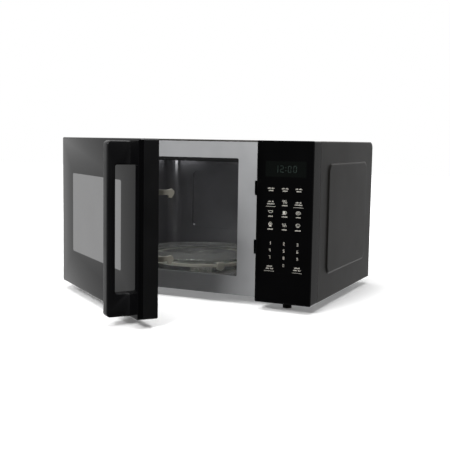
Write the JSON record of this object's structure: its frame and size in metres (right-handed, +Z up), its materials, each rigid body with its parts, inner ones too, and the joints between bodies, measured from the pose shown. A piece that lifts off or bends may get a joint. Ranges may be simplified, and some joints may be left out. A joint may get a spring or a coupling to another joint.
{
  "type": "microwave oven",
  "caption": "Countertop microwave oven with a side-hinged door, D-shaped handle, keypad panel and glass turntable tray, its door standing partly open.",
  "frame": {"origin": "on the surface the feet stand on, under the centre of the whole object's box with the door standing 37.3 degrees open", "axes": "+X towards the control panel side, +Y towards the back of the case, +Z up"},
  "size_m": [0.5242, 0.6268, 0.298],
  "materials": {
    "case_paint": "satin black enamel on sheet steel",
    "zinc_steel": "bright zinc-plated sheet steel",
    "screw_steel": "plated steel",
    "foot_rubber": "matt moulded rubber",
    "frame_steel": "satin silver-grey enamel",
    "cavity_enamel": "semi-gloss grey enamel",
    "mica": "pressed mica sheet",
    "gloss_black": "polished black moulding",
    "panel_face": "glossy printed membrane",
    "display_lens": "smoked clear plastic",
    "circuit_board": "fibre board",
    "display_block": "display block",
    "winding_tape": "taped winding",
    "relay_plastic": "moulded plastic",
    "copper": "bare copper and aluminium fins",
    "ferrite": "sintered ferrite",
    "ceramic": "glazed ceramic",
    "black_plastic": "moulded plastic",
    "laminations": "stacked steel laminations",
    "copper_wire": "varnished copper wire",
    "can_aluminium": "drawn aluminium can",
    "fuse_glass": "glass tube with metal caps",
    "white_plastic": "natural white moulding",
    "lamp_glass": "frosted lamp in a moulded holder",
    "clear_glass": "clear pressed glass",
    "black_glass": "dark printed glass",
    "door_steel": "dark enamel on pressed steel",
    "screen_steel": "perforated steel, dark enamel",
    "clear_sheet": "clear plastic sheet",
    "textured_black": "fine textured black moulding",
    "latch_plastic": "light beige moulding"
  },
  "bodies": {
    "root": {"outer_wrap": "case_paint", "base_plate": "zinc_steel", "rear_panel": "case_paint", "case_screws": "screw_steel", "feet": "foot_rubber", "front_frame": "frame_steel", "upper_hinge": "zinc_steel", "lower_hinge": "zinc_steel", "cavity_liner": "cavity_enamel", "waveguide": "zinc_steel", "waveguide_cover": "mica", "control_fascia": "gloss_black", "keypad_overlay": "panel_face", "display_window": "display_lens", "control_board": "circuit_board", "display_module": "display_block", "board_transformer": "winding_tape", "relays": "relay_plastic", "magnetron_frame": "zinc_steel", "magnetron_anode": "copper", "magnetron_magnets": "ferrite", "magnetron_antenna": "ceramic", "magnetron_filter_box": "zinc_steel", "air_duct": "black_plastic", "transformer_core": "laminations", "transformer_windings": "copper_wire", "capacitor": "can_aluminium", "capacitor_clamp": "zinc_steel", "diode": "relay_plastic", "filter_board": "circuit_board", "filter_choke": "copper_wire", "fuse": "fuse_glass", "cord_gland": "black_plastic", "fan_shroud": "black_plastic", "fan_motor": "laminations", "cavity_lamp": "lamp_glass", "thermal_cutouts": "ceramic", "latch_board": "white_plastic", "interlock_switches": "relay_plastic", "turntable_motor": "zinc_steel"},
    "door": {"door_glass": "black_glass", "door_outer_frame": "gloss_black", "door_panel": "door_steel", "door_screen": "screen_steel", "door_inner_window": "clear_sheet", "choke_cover": "textured_black", "door_handle": "black_plastic", "handle_screws": "screw_steel", "latch_spring": "screw_steel"},
    "latch": {"door_latch": "latch_plastic"},
    "coupler": {"turntable_coupler": "white_plastic"},
    "tray": {"glass_tray": "clear_glass"},
    "ring": {"roller_ring": "white_plastic"},
    "roller_a": {"roller_1": "white_plastic"},
    "roller_b": {"roller_2": "white_plastic"},
    "roller_c": {"roller_3": "white_plastic"},
    "fan": {"fan_rotor": "screw_steel", "fan_blade": "white_plastic"},
    "upper_lever": {"upper_interlock_lever": "white_plastic"},
    "lower_lever": {"lower_interlock_lever": "white_plastic"}
  },
  "joints": [
    {"name": "door_hinge", "type": "hinge", "parent": "root", "child": "door", "pos_m": [-0.24017, -0.04707, 0.1565], "axis": [0, 0, -1], "range_deg": [-37.3, 57.7]},
    {"name": "latch_slide", "type": "slide", "parent": "door", "child": "latch", "axis": [0, 0, 1], "range_m": [0, 0.004], "stiffness_N_per_m": 300, "springref_m": -0.003},
    {"name": "turntable_spin", "type": "hinge", "parent": "root", "child": "coupler", "pos_m": [-0.04717, 0.12243, 0.043], "axis": [0, 0, 1], "continuous": true},
    {"name": "tray_lift", "type": "slide", "parent": "coupler", "child": "tray", "axis": [0, 0, 1], "range_m": [0, 0.03]},
    {"name": "ring_spin", "type": "hinge", "parent": "root", "child": "ring", "pos_m": [-0.04717, 0.12243, 0.0515], "axis": [0, 0, 1], "continuous": true},
    {"name": "roller_spin_a", "type": "hinge", "parent": "ring", "child": "roller_a", "pos_m": [0.03328, 0.04741, 0.0515], "axis": [0.7314, -0.682, 0], "continuous": true},
    {"name": "roller_spin_b", "type": "hinge", "parent": "ring", "child": "roller_b", "pos_m": [-0.02243, 0.22961, 0.0515], "axis": [0.225, 0.9744, 0], "continuous": true},
    {"name": "roller_spin_c", "type": "hinge", "parent": "ring", "child": "roller_c", "pos_m": [-0.15237, 0.09027, 0.0515], "axis": [-0.9563, -0.2924, 0], "continuous": true},
    {"name": "fan_spin", "type": "hinge", "parent": "root", "child": "fan", "pos_m": [0.18003, 0.25643, 0.218], "axis": [0, 1, 0], "continuous": true},
    {"name": "upper_lever_tilt", "type": "hinge", "parent": "root", "child": "upper_lever", "pos_m": [0.14363, -0.00337, 0.2015], "axis": [-1, 0, 0], "range_deg": [0, 8], "stiffness_Nm_per_rad": 0.05, "springref_deg": -5.73},
    {"name": "lower_lever_tilt", "type": "hinge", "parent": "root", "child": "lower_lever", "pos_m": [0.14363, -0.00337, 0.0955], "axis": [-1, 0, 0], "range_deg": [0, 8], "stiffness_Nm_per_rad": 0.05, "springref_deg": -5.73}
  ],
  "couplings": [
    {"joint": "ring_spin", "follows": "turntable_spin", "ratio": 0.5},
    {"joint": "roller_spin_a", "follows": "turntable_spin", "ratio": -6.7073},
    {"joint": "roller_spin_b", "follows": "turntable_spin", "ratio": -6.7073},
    {"joint": "roller_spin_c", "follows": "turntable_spin", "ratio": -6.7073}
  ]
}
